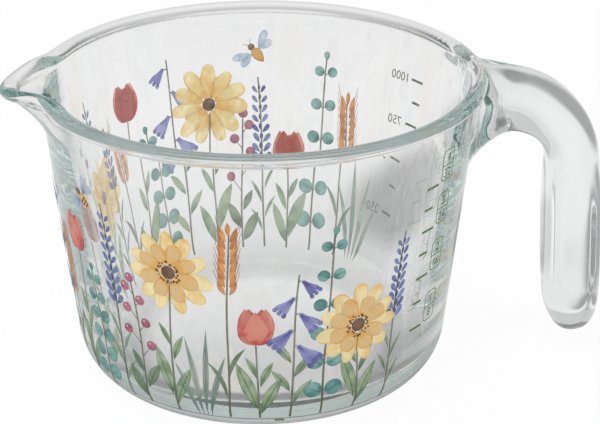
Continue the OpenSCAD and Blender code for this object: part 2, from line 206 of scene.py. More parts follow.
def bowlFields(x, y, z):
    # distance to the bowl's glass, and to its hollow
    r = np.hypot(x, y)
    turn = np.degrees(np.arctan2(np.abs(y), -x))
    share = np.where(turn < spout["half"], np.cos(np.radians(90 * turn / spout["half"])), 0).clip(0)
    flareZ = bowl["height"] - spout["flareHeight"]
    flare = np.clip((z - flareZ) / (beadZ - flareZ), 0, 1) ** spout["flarePower"]
    shoulder = np.exp(-((turn - spout["shoulderAt"]) / spout["shoulderWidth"]) ** 2) * np.sqrt(share)
    r = r - spout["reach"] * flare * share ** spout["power"]
    z = z - spout["shoulderRise"] * flare * shoulder
    outSide = (r - wallOut(z)) * leanCos
    outer = cornerField(outSide, -z, r - heelCentre, z - bowl["heel"], bowl["heel"], bowl["lean"])
    inSide = (r - wallIn(z)) * innerCos
    hollow = cornerField(inSide, bowl["floor"] - z, r - innerCentre, z - innerZ, bowl["innerHeel"],
                         bowl["innerLean"])
    wall = np.maximum(np.maximum(outer, -hollow), z - rollZ)
    bead = (np.hypot((r - rollCentre) / rollHalf, (z - rollZ) / bowl["beadRise"]) - 1) * bowl["beadRise"]
    blend = bowl["beadHollow"] * np.clip((r - rollCentre) / rollHalf, 0, 1)
    return joinRound(wall, bead, blend), hollow


def handleField(x, y, z):
    x = x - np.maximum(handle["archZ"] - z, 0) * gripTan
    u = x - archX
    v = z - handle["archZ"]
    topSide = (x - turnX) * topCos + (z - turnZ) * topSin - handle["shoulder"]
    away = np.hypot(x - turnX, z - turnZ) - handle["shoulder"]
    turn = np.degrees(np.arctan2(z - turnZ, x - turnX))
    outer = np.where(z > turnZ, topSide, x - turnX - handle["shoulder"])
    outer = np.where((turn >= 0) & (turn <= 90 - handle["topSlope"]), away, outer)
    gap = np.where((v > 0) | (u < 0), np.hypot(u, v) - archRadius, u - archRadius)
    half = np.maximum((gap - outer) / 2, handle["leastHalf"])
    offMiddle = np.abs(gap + outer) / 2 / half
    nearWall = rising(np.degrees(np.arctan2(np.maximum(v, 0), u)), *handle["rootTurn"])
    wide = handle["width"] / 2 + (handle["rootWidth"] - handle["width"]) / 2 * nearWall ** 2
    up, over = handle["squareTop"]
    straight = smooth((up - v) / over) * rising(z - handle["tailZ"], *handle["squareTail"])
    power = handle["roundness"] + (handle["gripRoundness"] - handle["roundness"]) * straight
    ring = (offMiddle ** power + (np.abs(y) / wide) ** power) ** (1 / power)
    below = np.maximum(handle["tailZ"] + handle["endRise"] - z, 0)
    past = below / handle["endRise"]  # rounds off the lower end
    field = (np.hypot(ring, past) - 1) * half
    field = np.where(u < 0, np.maximum(field, -v), field)
    middle = (wallIn(z) + wallOut(z)) / 2
    field = np.maximum(field, (middle - np.hypot(x, y)) * leanCos)
    field = np.maximum(field, bowl["footRadius"] / 2 - x)  # keeps to the handle's side of the bowl
    fillet = handle["rootFillet"] * smooth(-topSide / handle["filletUnder"])
    fillet = fillet * rising(v, *handle["filletUp"])
    return field, fillet


def jugField(x, y, z):
    glass, hollow = bowlFields(x, y, z)
    grip, fillet = handleField(x, y, z)
    fillet = handle["leastFillet"] + fillet * np.clip(hollow / bowl["wall"], 0, 1) ** 2
    fillet = np.where(hollow > handle["filletClear"], fillet, 0.0)
    return joinRound(glass, grip, fillet)


def netOver(field, axes):
    # quads over the zero level of a field, one point for each cell that the level crosses
    counts = [len(a) for a in axes]
    values = np.empty(counts)
    for i, x in enumerate(axes[0]):
        y, z = np.meshgrid(axes[1], axes[2], indexing="ij")
        values[i] = field(np.full_like(y, x), y, z)
    inside = values < 0
    corners = list(np.ndindex(2, 2, 2))

    def corner(data, c):
        return data[tuple(slice(o, n - 1 + o) for o, n in zip(c, counts))]

    filled = sum(corner(inside, c).astype(np.int8) for c in corners)
    cells = np.argwhere((filled > 0) & (filled < 8))
    index = np.full([n - 1 for n in counts], -1)
    index[tuple(cells.T)] = np.arange(len(cells))
    total = np.zeros((len(cells), 3))
    hits = np.zeros(len(cells))
    for axis in range(3):
        for c in corners:
            if c[axis]:
                continue
            end = tuple(o + (a == axis) for a, o in enumerate(c))
            va = values[tuple((cells + c).T)]
            vb = values[tuple((cells + end).T)]
            cross = (va < 0) != (vb < 0)
            t = np.where(cross, va / np.where(cross, va - vb, 1), 0)
            spot = np.array(c, float) + t[:, None] * np.eye(3)[axis]
            total += np.where(cross[:, None], spot, 0)
            hits += cross
    start = np.stack([a[k] for a, k in zip(axes, cells.T)], 1)
    size = np.stack([np.diff(a)[k] for a, k in zip(axes, cells.T)], 1)
    points = start + size * total / hits[:, None]
    quads = []
    for axis in range(3):
        first = [slice(None)] * 3
        second = [slice(None)] * 3
        first[axis] = slice(0, -1)
        second[axis] = slice(1, None)
        a = inside[tuple(first)]
        b = inside[tuple(second)]
        edges = np.argwhere(a != b)
        out = a[tuple(edges.T)]
        p, q = [(1, 2), (2, 0), (0, 1)][axis]
        ring = []
        for dp, dq in ((0, 0), (1, 0), (1, 1), (0, 1)):
            cell = edges.copy()
            cell[:, p] -= dp
            cell[:, q] -= dq
            ring.append(index[tuple(cell.T)])
        ring = np.stack(ring, 1)
        quads.append(np.where(out[:, None], ring, ring[:, ::-1]))
    return points, np.concatenate(quads)


def slopeOf(field, points, reach=0.02):
    slope = np.empty_like(points)
    for axis in range(3):
        step = np.zeros(3)
        step[axis] = reach
        slope[:, axis] = (field(*(points + step).T) - field(*(points - step).T)) / (2 * reach)
    return slope


def settle(field, points, limit, rounds=4):
    # slides points along the slope onto the surface
    for _ in range(rounds):
        slope = slopeOf(field, points)
        move = field(*points.T) / np.maximum((slope ** 2).sum(1), glassNet["leastSlope"])
        points = points - np.clip(move[:, None] * slope, -limit, limit)
    return points


def evenOut(points, quads, rounds, field, limit):
    # draws each point to the middle of its neighbours, then back onto the surface
    edges = np.concatenate([quads[:, [k, (k + 1) % 4]] for k in range(4)])
    for _ in range(rounds):
        total = np.zeros_like(points)
        count = np.zeros(len(points))
        for a, b in ((0, 1), (1, 0)):
            np.add.at(total, edges[:, a], points[edges[:, b]])
            np.add.at(count, edges[:, a], 1)
        points = points * 0.5 + 0.5 * total / count[:, None]
        points = settle(field, points, limit, 2)
    return points


def meshObject(name, points, faces, normals=None, shaded=True):
    mesh = bpy.data.meshes.new(name)
    mesh.from_pydata((np.asarray(points) * mm).tolist(), [], [list(map(int, f)) for f in faces])
    mesh.polygons.foreach_set("use_smooth", [shaded] * len(mesh.polygons))
    if normals is not None:
        mesh.normals_split_custom_set_from_vertices(normals.tolist())
    mesh.update()
    piece = bpy.data.objects.new(name, mesh)
    scene.collection.objects.link(piece)
    return piece


glassNet = {
    "step": 1.15,
    "fineStep": 0.5,    # up the rim, where the bead is
    "fineFrom": 101.0, "margin": 3.0,
    "shift": 0.37,      # of a step, so that no cell's corner lies on a plane of the glass
    "even": 3, "leastSlope": 0.05,
}


def makeJug():
    step = glassNet["step"]
    low = [v / mm - glassNet["margin"] - glassNet["shift"] * step for v in cadBox[0]]
    high = [v / mm + glassNet["margin"] for v in cadBox[1]]
    axes = [np.arange(low[k], high[k] + step, step) for k in range(3)]
    below = axes[2][axes[2] < glassNet["fineFrom"]]
    axes[2] = np.concatenate([below, np.arange(below[-1], high[2], glassNet["fineStep"])[1:]])
    points, quads = netOver(jugField, axes)
    limit = glassNet["fineStep"]
    points = settle(jugField, points, limit)
    points = evenOut(points, quads, glassNet["even"], jugField, limit)
    points = settle(jugField, points, limit)
    normals = slopeOf(jugField, points)
    normals /= np.linalg.norm(normals, axis=1)[:, None]
    return meshObject("glassJug", points, quads, normals)


jug = makeJug()
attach(jug, "root")
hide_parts("glass_jug")
print("glass meshed", len(jug.data.polygons), "faces")


# small helpers for node trees
def feed(tree, node, values):
    # numbers and colours are set on a node's sockets, outputs of other nodes are linked to them
    for key, value in values.items():
        if isinstance(value, bpy.types.NodeSocket):
            tree.links.new(value, node.inputs[key])
        else:
            node.inputs[key].default_value = value


def newNode(tree, kind, values={}, **settings):
    node = tree.nodes.new("ShaderNode" + kind)
    for key, value in settings.items():
        setattr(node, key, value)
    feed(tree, node, values)
    return node


def maths(tree, kind, a, b=0.0, clamp=False):
    return newNode(tree, "Math", {0: a, 1: b}, operation=kind, use_clamp=clamp).outputs[0]


def climb(tree, value, low, high, start, end, kind="SMOOTHSTEP"):
    # a step from one level to another
    step = {"Value": value, "From Min": low, "From Max": high, "To Min": start, "To Max": end}
    return newNode(tree, "MapRange", step, interpolation_type=kind).outputs["Result"]


def noise(tree, values, size, detail, **settings):
    values = {**values, "Scale": 1 / size, "Detail": detail}
    return newNode(tree, "TexNoise", values, **settings).outputs["Fac"]


def addRelief(tree, surface, height, strength, distance):
    bump = newNode(tree, "Bump", {"Height": height, "Strength": strength, "Distance": distance})
    feed(tree, surface, {"Normal": bump.outputs["Normal"]})


def newLook(name):
    # a material, its node tree and its surface shader
    look = bpy.data.materials.new(name)
    look.use_nodes = True
    return look, look.node_tree, look.node_tree.nodes["Principled BSDF"]


# glass
glassLook = {
    "ior": 1.52, "tint": (0.60, 0.80, 0.76, 1), "density": 2.5,
    "rippleSize": 0.014,            # m, the faint waves that the mould leaves
    "rippleStretch": 0.4,           # the waves run up the wall
    "rippleHeight": 0.00005, "rippleDetail": 1.0,
    "hazeSize": 0.03,               # m, handled patches
    "hazeDetail": 2.0,
    "haze": (0.5, 0.8, 0.0, 0.02),  # where a patch starts and is full, roughness outside and in it
}


def makeGlass():
    look, tree, surface = newLook("clearGlass")
    place = newNode(tree, "TexCoord").outputs["Object"]
    drawn = newNode(tree, "Mapping", {"Vector": place, "Scale": (1, 1, glassLook["rippleStretch"])})
    drawn = {"Vector": drawn.outputs["Vector"]}
    ripple = noise(tree, drawn, glassLook["rippleSize"], glassLook["rippleDetail"])
    addRelief(tree, surface, ripple, 1.0, glassLook["rippleHeight"])
    patches = noise(tree, {"Vector": place}, glassLook["hazeSize"], glassLook["hazeDetail"])
    handled = climb(tree, patches, *glassLook["haze"], kind="LINEAR")
    feed(tree, surface, {"Base Color": (1, 1, 1, 1), "IOR": glassLook["ior"], "Transmission Weight": 1.0,
                         "Roughness": handled})
    soak = newNode(tree, "VolumeAbsorption", {"Color": glassLook["tint"], "Density": glassLook["density"]})
    feed(tree, tree.nodes["Material Output"], {"Volume": soak.outputs["Volume"]})
    return look


jug.data.materials.append(makeGlass())


# the print: fired enamel in thin films that follow the wall and the heel, mm
enamel = {
    "gap": 0.03,           # between the glass and the lowest film
    "film": 0.03,
    "coat": 0.05,          # from one coat to the next in a colour's layer
    "layer": 0.16,         # from one colour's layer to the next
    "footZ": 9.0,          # the stems start on the heel
    "tallest": 84.0, "stem": 0.7, "stemTaper": (1.15, 0.3), "stemRows": 44,
    "sway": (0.25, 9.0),   # how far, over what length
    "clear": 0.65,         # from a stem's middle to what grows beside it
    "bendFrom": 0.3,       # share of a leaf's length where it keeps its aim
    "waves": (9.0, 40.0),  # edge waves along a leaf, and how widely they start
    "least": 0.04,         # half the width of the finest point
    "barCols": 9,
}
# kind, degrees from the handle, share of the tallest plant, lean of its top in mm
meadow = [
    ("lavender", -57, 0.79, 2), ("daisy", -68, 0.6, -3), ("coin", -79, 0.86, 2), ("bell", -88.5, 0.69, 2),
    ("tulip", -98, 0.55, -2), ("wheat", -107, 0.88, 2), ("grass", -114.5, 0.43, 0),
    ("daisy", -124, 0.86, 3), ("berry", -134, 0.58, -2), ("lavender", -142, 0.9, -2),
    ("coin", -151, 0.55, -2), ("tulip", -160, 0.79, 2), ("wheat", -169, 0.62, -2), ("bell", -178, 0.86, -2),
    ("grass", -186, 0.5, 0), ("berry", -194, 0.93, 2), ("daisy", -204, 0.67, -2),
    ("lavender", -214, 0.95, 2), ("wheat", -222, 0.74, 2), ("tulip", -231, 0.95, -2),
    ("coin", -240, 0.69, 2), ("bell", -249.5, 1, 2), ("daisy", -260, 0.95, -2), ("berry", -270, 0.69, -2),
    ("lavender", -278, 0.88, 2), ("tulip", -287, 0.64, 2), ("coin", -296, 0.98, -2),
    ("wheat", -306.5, 0.79, 2), ("grass", -314, 0.48, 0),
]
random.seed(7)


def onWall(turn, u, z, lift):
    # a place u mm to the right of a line up the wall, lifted off the glass
    heel = bowl["heel"]
    onHeel = z < heel * (1 - leanSin)
    inArc = np.sqrt(np.maximum(heel ** 2 - (heel - z) ** 2, 0))
    r = np.where(onHeel, heelCentre + inArc, wallOut(z))
    outR = np.where(onHeel, inArc / heel, leanCos)
    outZ = np.where(onHeel, z / heel - 1, -leanSin)
    angle = np.radians(turn) + u / r
    r = r + lift * outR
    return np.stack([r * np.cos(angle), r * np.sin(angle), z + lift * outZ], -1)


def addGrid(name, turn, u, z, along, across, tone=0.0, coat=0, loop=False):
    # a closed film over a grid of places; a loop joins its last row to its first
    film = films[name]
    rows, cols = u.shape
    low = enamel["gap"] + layerOf[name] * enamel["layer"] + coat * enamel["coat"]
    start = sum(len(p) for p in film["points"])
    film["points"].append(onWall(turn, u, z, low).reshape(-1, 3))
    film["points"].append(onWall(turn, u, z, low + enamel["film"]).reshape(-1, 3))
    seed = random.random()
    for key, value in (("along", along), ("across", across), ("seed", seed), ("tone", tone)):
        film[key] += [np.broadcast_to(value, u.shape).ravel()] * 2
    at = start + np.arange(rows * cols).reshape(rows, cols)
    a, b = at, np.roll(at, -1, 0)
    if not loop:
        a, b = at[:-1], at[1:]
    up = rows * cols
    quads = np.stack([a[:, :-1], a[:, 1:], b[:, 1:], b[:, :-1]], -1).reshape(-1, 4)
    film["faces"] += [quads[:, ::-1], quads + up]
    edges = [np.stack([a[:, -1], b[:, -1]], -1), np.stack([b[:, 0], a[:, 0]], -1)]
    if not loop:
        edges.append(np.stack([at[0, :-1], at[0, 1:]], -1))
        edges.append(np.stack([at[-1, 1:], at[-1, :-1]], -1))
    for e in edges:
        film["faces"].append(np.stack([e[:, 0], e[:, 1], e[:, 1] + up, e[:, 0] + up], -1))


# outlines: half width along a shape, from root to tip
def lens(s):
    return 4 * s * (1 - s)


def disc(s):
    return 2 * np.sqrt(s * (1 - s))


def petal(s):
    return np.sqrt(np.maximum(1 - (2 * s ** 1.5 - 1) ** 2, 0))


def flame(s):
    # full below, drawn to a point above
    return np.sin(np.pi * s ** 0.72) ** 0.8


def blade(s):
    return np.sin(np.pi * s)


def bell(s):
    return 0.3 + 0.7 * np.sin(np.pi / 2 * s) ** 2


def strip(s):
    return 1 - 0.35 * s


def addLeaf(name, place, aim, length, width, shape, bend=0.0, ripple=0.0, tone=0.0, coat=0, rows=10,
            cols=4):
    # a shape that grows from its place on the wall; aim is degrees to the right of up
    turn, z, u = place
    s = (1 - np.cos(np.pi * np.arange(rows + 1) / rows)) / 2
    heading = np.radians(aim + bend * (s - enamel["bendFrom"]))
    step = np.diff(s, prepend=0) * length
    midU = u + np.cumsum(step * np.sin(heading))
    midZ = z + np.cumsum(step * np.cos(heading))
    half = shape(s) * width / 2
    waves, phase = enamel["waves"]
    half = half * (1 + ripple * np.sin(waves * s + phase * random.random()))
    half = np.maximum(half, enamel["least"])
    across = np.linspace(-1, 1, cols + 1)
    gridU = midU[:, None] + np.cos(heading)[:, None] * half[:, None] * across
    gridZ = midZ[:, None] - np.sin(heading)[:, None] * half[:, None] * across
    addGrid(name, turn, gridU, gridZ, s[:, None], across, tone, coat)


def addDot(name, place, radius, tone=0.0, coat=0, rows=6, cols=2):
    turn, z, u = place
    size = 2 * radius
    addLeaf(name, (turn, z - radius, u), 0, size, size, disc, tone=tone, coat=coat, rows=rows, cols=cols)


def addLine(name, place, aim, length, width, bend=0.0, tone=1.0, coat=1, rows=6):
    # a drawn line, as a rule over a colour
    addLeaf(name, place, aim, length, width, strip, bend=bend, tone=tone, coat=coat, rows=rows, cols=2)


def addTwig(place, aim, length, width, bend=0.0, rows=6):
    addLine("flowerStems", place, aim, length, width, bend=bend, tone=0.0, coat=0, rows=rows)


def spread(amount):
    return amount * (2 * random.random() - 1)


def within(low, extra):
    return low + extra * random.random()


def stemU(plant, v):
    return plant["lean"] * (v / plant["height"]) ** 2


def spot(plant, v, u=0.0):
    return plant["turn"], enamel["footZ"] + v, stemU(plant, v) + u


def beside(plant, v, side, off=0.0):
    return spot(plant, v, side * (enamel["clear"] + off))


def stepped(place, aim, forward, right=0.0):
    # forward and to the right of a place, facing aim
    turned = math.radians(aim)
    return (place[0], place[1] + forward * math.cos(turned) - right * math.sin(turned),
            place[2] + forward * math.sin(turned) + right * math.cos(turned))


def addStem(plant, top):
    v = np.linspace(0, top, enamel["stemRows"])[:, None]
    across = np.linspace(-1, 1, 3)
    full, less = enamel["stemTaper"]
    half = enamel["stem"] / 2 * (full - less * v / top)
    sway, over = enamel["sway"]
    u = stemU(plant, v) + sway * np.sin(v / over + plant["turn"]) + half * across
    addGrid("flowerStems", plant["turn"], u, enamel["footZ"] + v + 0 * across, v / top, across)


layerOf = {"flowerStems": 0, "leafBlades": 0, "grassBlades": 0, "lavenderFlorets": 1, "coinLeaves": 1,
           "wheatEars": 1, "daisyPetals": 2, "daisyCentres": 2, "tulipPetals": 2, "bellflowers": 3,
           "berries": 3, "beeBodies": 2, "beeWings": 2, "cupScaleTicks": 0, "cupScaleTags": 0,
           "millilitreScaleTicks": 0}
lists = ("points", "faces", "along", "across", "seed", "tone")
films = {name: {key: [] for key in lists} for name in layerOf}

# leaves by kind of plant: aim, bend, how loose both are, ripple, tone, rows, vein by share of the
# length and width, and for each leaf share of the stem, side, length, width
foliage = {
    "daisy": (18, 14, (4, 8), 0.03, 0.0, 12, (0.9, 0.28),
              ((0.05, 1, 17, 4.08), (0.1, -1, 20, 4.8), (0.3, 1, 11, 2.64), (0.38, -1, 9, 2.16))),
    "lavender": (20, 26, None, 0.0, 0.4, 10, None,
                 ((0.1, 1, 10, 1.3), (0.17, -1, 10, 1.3), (0.25, 1, 10, 1.3), (0.32, -1, 10, 1.3))),
    "wheat": (14, 44, None, 0.0, 0.7, 10, None, ((0.12, -1, 16, 1.7), (0.24, 1, 13, 1.7))),
    "bell": (32, 18, None, 0.03, 0.0, 10, (10 / 11, 0.26),
             ((0.12, 1, 11, 3.0), (0.2, -1, 11, 3.0), (0.3, 1, 11, 3.0), (0.4, -1, 11, 3.0))),
    "berry": (26, 10, None, 0.05, 0.5, 10, (0.9, 0.26),
              ((0.06, -1, 13, 4.42), (0.15, 1, 12, 4.08), (0.27, -1, 9, 3.06))),
}
foliage["tulip"] = foliage["daisy"]


def drawLeaves(plant):
    aim, bend, loose, ripple, tone, rows, vein, leaves = foliage[plant["kind"]]
    for share, side, long, wide in leaves:
        root = beside(plant, plant["height"] * share, side)
        heading = side * aim + (spread(loose[0]) if loose else 0)
        curl = side * (bend + (spread(loose[1]) if loose else 0))
        addLeaf("leafBlades", root, heading, long, wide, lens, bend=curl, ripple=ripple, tone=tone, rows=rows)
        if vein:
            addLine("leafBlades", root, heading, long * vein[0], vein[1], bend=curl, rows=10)


# each motif by its own measures, in mm and degrees or shares of the stem
daisy = {
    "reach": 15.6, "centre": 3.6, "plump": 1.275,
    "rings": ((0, 11, 2.6, 1.0), (1, 8, 2.4, 0.68)),  # coat, petals, where they start, share of the length
    "inner": 0.35,  # tone of the inner ring
    "solid": 0.72,  # share of the centre
    "dots": 26, "dotReach": (0.86, 0.42), "dotSize": (0.3, 0.16),
}


def drawDaisy(plant, reach, centre, plump, rings, inner, solid, dots, dotReach, dotSize):
    middle = spot(plant, plant["height"] - reach)
    wide = plump * math.pi * reach / rings[0][1]
    for coat, count, start, share in rings:
        for k in range(count):
            aim = 360 * (k + 0.5 * coat) / count + spread(5)
            long = (reach - start) * share * (1 + spread(0.05))
            addLeaf("daisyPetals", stepped(middle, aim, start), aim, long, wide * (1 + spread(0.1)), petal,
                    bend=spread(16), ripple=0.05, tone=inner * coat, coat=coat, rows=12, cols=6)
    addDot("daisyCentres", middle, centre * solid, coat=2, rows=12, cols=8)
    for k in range(dots):
        place = stepped(middle, 360 * k / dots + spread(6), centre * within(*dotReach))
        addDot("daisyCentres", place, within(*dotSize), tone=random.random(), coat=2)


tulip = {
    "long": 15.0, "wide": 7.8, "curl": -1.3,
    # coat, tone, aims, share of the length and of the width
    "coats": ((0, 0.75, (-13, 13), 0.96, 1.05), (1, 0.2, (-21, 21), 0.98, 1.05), (2, 0.0, (0,), 0.86, 1.15)),
}


def drawTulip(plant, long, wide, curl, coats):
    root = spot(plant, plant["height"] - long)
    for coat, tone, aims, share, plump in coats:
        for aim in aims:
            addLeaf("tulipPetals", root, aim, long * share, wide * plump, flame, bend=aim * curl + spread(3),
                    ripple=0.04, tone=tone, coat=coat, rows=12, cols=6)


lavender = {
    "pairs": 9, "floret": 4.6, "taper": (1.05, 0.4), "aim": 40, "slim": 0.44,
    "stem": (0.5, 0.47),    # where the florets start, and over how much they go
    "middle": (0.7, 0.34),  # length and width of the middle florets, by the others' length
    "rise": 0.8,
}


def drawLavender(plant, pairs, floret, taper, aim, slim, stem, middle, rise):
    for k in range(pairs):
        v = plant["height"] * (stem[0] + stem[1] * k / pairs)
        size = floret * (taper[0] - taper[1] * k / pairs)
        for side in (-1, 1):
            addLeaf("lavenderFlorets", beside(plant, v, side), side * (aim + spread(6)), size,
                    size * slim, petal, bend=-side * 18, tone=0.5 * random.random())
        addLeaf("lavenderFlorets", spot(plant, v + rise), spread(12), size * middle[0], size * middle[1],
                lens, tone=0.9, coat=1, rows=6, cols=2)


coin = {
    "pairs": 6, "radius": 3.1, "taper": 0.45, "stem": (0.16, 0.78), "aim": 62, "off": 0.2,
    "size": (2.1, 2.0), "drop": 0.55,  # length, width and hang below the twig, by the radius
    "vein": (1.6, 0.22),               # length by the radius, width
    "twig": (2.0, 0.36), "twigDrop": 1.4, "slope": (1.6, 1.2), "tip": (3.4, 2.4),
}


def drawCoin(plant, pairs, radius, taper, stem, aim, off, size, drop, vein, twig, twigDrop, slope, tip):
    for k in range(pairs):
        r = radius * (1 - taper * k / pairs)
        v = plant["height"] * (stem[0] + stem[1] * k / (pairs - 1))
        for side in (-1, 1):
            lean = math.degrees(math.atan2(slope[0], slope[1] + spread(0.5)))
            addTwig(spot(plant, v - twigDrop), side * lean, *twig, rows=4)
            root = beside(plant, v - r * drop, side, off)
            addLeaf("coinLeaves", root, side * aim, size[0] * r, size[1] * r, disc,
                    tone=0.3 * random.random(), rows=12, cols=6)
            addLine("coinLeaves", root, side * aim, vein[0] * r, vein[1])
    addLeaf("coinLeaves", spot(plant, plant["height"] - 0.6), 4, *tip, petal, tone=0.2)


wheat = {
    "pairs": 8, "pitch": 2.944, "aim": 27, "grain": (6.2, 1.9), "tip": (5.4, 1.8),
    "hair": (6.5, 0.24), "hairAt": (3.6, 1.9), "hairAim": 0.7,
}


def drawWheat(plant, pairs, pitch, aim, grain, tip, hair, hairAt, hairAim):
    for k in range(pairs):
        v = plant["height"] - (pairs - k) * pitch
        for side in (-1, 1):
            heading = side * (aim + spread(4))
            addLeaf("wheatEars", beside(plant, v, side), heading, *grain, lens, bend=-side * 22,
                    tone=0.6 * random.random())
            root = beside(plant, v + hairAt[0], side, hairAt[1])
            addLine("wheatEars", root, heading * hairAim, *hair, bend=-side * 10)
    addLeaf("wheatEars", spot(plant, plant["height"] - 0.8), 0, *tip, lens, tone=0.3)


bellflower = {
    "count": 5, "stem": (0.52, 0.44), "aim": 138, "off": 0.6, "twig": (1.7, 0.4), "twigDrop": 0.6,
    "long": (9.0, 0.72), "wide": (6.3, 0.45),  # of the lowest, and how much less each next one has
    "lobe": (2.2, 0.36), "lobeAt": (0.9, 0.33), "lobeFan": 16,  # by the bell's size, but for the length
    "rib": (0.86, 0.22), "ribFan": 9,
}


def drawBell(plant, count, stem, aim, off, twig, twigDrop, long, wide, lobe, lobeAt, lobeFan, rib, ribFan):
    for k in range(count):
        side = 1 if k % 2 == 0 else -1
        v = plant["height"] * (stem[0] + stem[1] * k / (count - 1))
        high = long[0] - long[1] * k
        across = wide[0] - wide[1] * k
        root = beside(plant, v, side, off)
        addTwig(spot(plant, v - twigDrop), side * 50, *twig, bend=side * 70, rows=5)
        addLeaf("bellflowers", root, side * aim, high, across, bell, bend=-side * 8, rows=12, cols=6)
        for turn in (-1, 0, 1):
            tip = stepped(root, side * aim, high * lobeAt[0], turn * across * lobeAt[1])
            addLeaf("bellflowers", tip, side * aim + turn * lobeFan, lobe[0], across * lobe[1], petal,
                    tone=0.5, coat=1, rows=6)
        for turn in (-1, 0, 1):
            addLine("bellflowers", root, side * aim + turn * ribFan, high * rib[0], rib[1])


berry = {
    "count": 6, "radius": 1.9, "stem": (0.4, 0.5), "aim": 40,
    "twig": (7.5, 0.7, 0.42),  # length of the lowest, how much less each next one has, width
    "inside": 1.5,             # a twig ends short of its berry's middle
    "shine": 0.42, "shineAt": (0.7, -0.6),
}


def drawBerry(plant, count, radius, stem, aim, twig, inside, shine, shineAt):
    for k in range(count + 1):
        heading = aim if k % 2 == 0 else -aim
        long = twig[0] - twig[1] * k
        v = plant["height"] * (stem[0] + stem[1] * k / (count - 1))
        turned = math.radians(heading)
        middle = spot(plant, v + long * math.cos(turned), long * math.sin(turned))
        if k < count:
            addTwig(spot(plant, v), heading, long - inside, twig[2])
        else:
            middle = spot(plant, plant["height"] + radius)
        addDot("berries", middle, radius, rows=10, cols=6)
        addDot("berries", stepped(middle, 0, *shineAt), shine, tone=1.0, coat=1)


grass = {
    "blades": ((-16, 0.62), (-7, 0.9), (2, 1.0), (11, 0.74)),  # aim, share of the tallest
    "wide": 2.2, "curl": 1.2, "vein": (0.94, 0.22),
    "apart": 7,  # degrees of aim for each degree round the bowl
}


def drawGrass(plant, blades, wide, curl, vein, apart):
    for aim, share in blades:
        root = (plant["turn"] + aim / apart, enamel["footZ"], 0.0)
        long = plant["height"] * share
        addLeaf("grassBlades", root, aim, long, wide, blade, bend=aim * curl,
                tone=0.6 * random.random(), rows=28)
        addLine("grassBlades", root, aim, long * vein[0], vein[1], bend=aim * curl, rows=24)


motifs = {"daisy": (drawDaisy, daisy), "tulip": (drawTulip, tulip), "lavender": (drawLavender, lavender),
          "coin": (drawCoin, coin), "wheat": (drawWheat, wheat), "bell": (drawBell, bellflower),
          "berry": (drawBerry, berry), "grass": (drawGrass, grass)}
headLength = {"daisy": daisy["reach"] + daisy["centre"], "tulip": tulip["long"]}
for kind, turn, share, lean in meadow:
    plant = {"kind": kind, "turn": turn, "height": share * enamel["tallest"], "lean": lean}
    if kind != "grass":
        addStem(plant, plant["height"] - headLength.get(kind, 0))
    draw, motif = motifs[kind]
    draw(plant, **motif)
    if kind in foliage:
        drawLeaves(plant)

# insects: sizes by the length, lines in mm
bees = {
    "size": 9.0, "body": (0.72, 0.46), "head": 0.3, "headAt": 0.18,
    "stripes": ((-0.34, 0.26), (-0.2, 0.34), (-0.06, 0.34)), "stripe": 0.62,  # along the body, length; width
    "feeler": (2.4, 0.24), "feelerAt": (0.45, 0.5),
    "wings": ((62, 1.0), (100, 0.78)),  # aim, share of the larger wing
    "wing": (0.86, 0.34), "wingAt": (0.08, 0.2), "veins": (-9, 0, 9), "vein": (0.76, 0.16),
}
beePlaces = ((-151, 0.89, -50), (-276, 0.99, 40))  # degrees, share of the tallest plant, aim


def drawBee(middle, aim, size, body, head, headAt, stripes, stripe, feeler, feelerAt, wings, wing, wingAt,
            veins, vein):
    addLeaf("beeBodies", stepped(middle, aim, -size / 2), aim, size * body[0], size * body[1], petal,
            rows=14, cols=6)
    addLeaf("beeBodies", stepped(middle, aim, size * headAt), aim, size * head, size * head, disc,
            tone=0.8, coat=1)
    for share, wide in stripes:
        root = stepped(middle, aim, size * share, -size * wide / 2)
        addLine("beeBodies", root, aim + 90, size * wide, stripe)
    for side in (-1, 1):
        root = stepped(middle, aim, size * feelerAt[0], side * feelerAt[1])
        addLine("beeBodies", root, aim + side * 28, *feeler, bend=side * 40)
        root = stepped(middle, aim, size * wingAt[0], side * size * wingAt[1])
        for turn, share in wings:
            heading = aim + side * turn
            addLeaf("beeWings", root, heading, size * wing[0] * share, size * wing[1], petal, rows=12)
            for fan in veins:
                addLine("beeWings", root, heading + fan, size * vein[0] * share, vein[1])


for turn, share, aim in beePlaces:
    drawBee((turn, enamel["footZ"] + share * enamel["tallest"], 0.0), aim, **bees)

# volume scales: ticks from the first labelled step up, tags for cups and ounces, numbers for millilitres
scales = {
    "cupMl": 236.6, "quarterMl": 250, "steps": 4, "tick": 0.9, "longTick": 6.6, "shortTick": 4.6,
    "cupTurn": -48.4, "mlTurn": 27.0, "tagWide": 7.6, "tagHigh": 12.0, "tagRound": 2.0,
    "tagLine": 0.4, "tagGap": 1.2, "cornerSteps": 8, "ouncesEach": 8,
    # figures: mm above the tick, size
    "cupFigure": (7.2, 4.8), "ounceFigure": (1.5, 4.6), "mlFigure": (-1.7, 4.8), "mlFigureOff": 6.2,
    "curveSteps": 4,
    "floor": 9.0,      # the marks are set out by the solid's own inside
    "innerHeel": 6.0, "slices": 2000,
}
mlVolume = 1000  # mm3
tagLeft = scales["longTick"] + scales["tagGap"]


def insideRadius(z):
    r = scales["innerHeel"]
    arcZ = scales["floor"] + r
    inArc = np.sqrt(np.maximum(r ** 2 - np.minimum(z - arcZ, 0) ** 2, 0))
    return np.where(z > arcZ - r * innerSin, wallIn(z), wallIn(arcZ) - r / innerCos + inArc)


def levelOf(ml):
    # height of the liquid, by the bowl's inside
    z = np.linspace(scales["floor"], bowl["height"], scales["slices"])
    held = np.cumsum(math.pi * insideRadius(z) ** 2) * (z[1] - z[0]) / mlVolume
    return float(np.interp(ml, held, z))


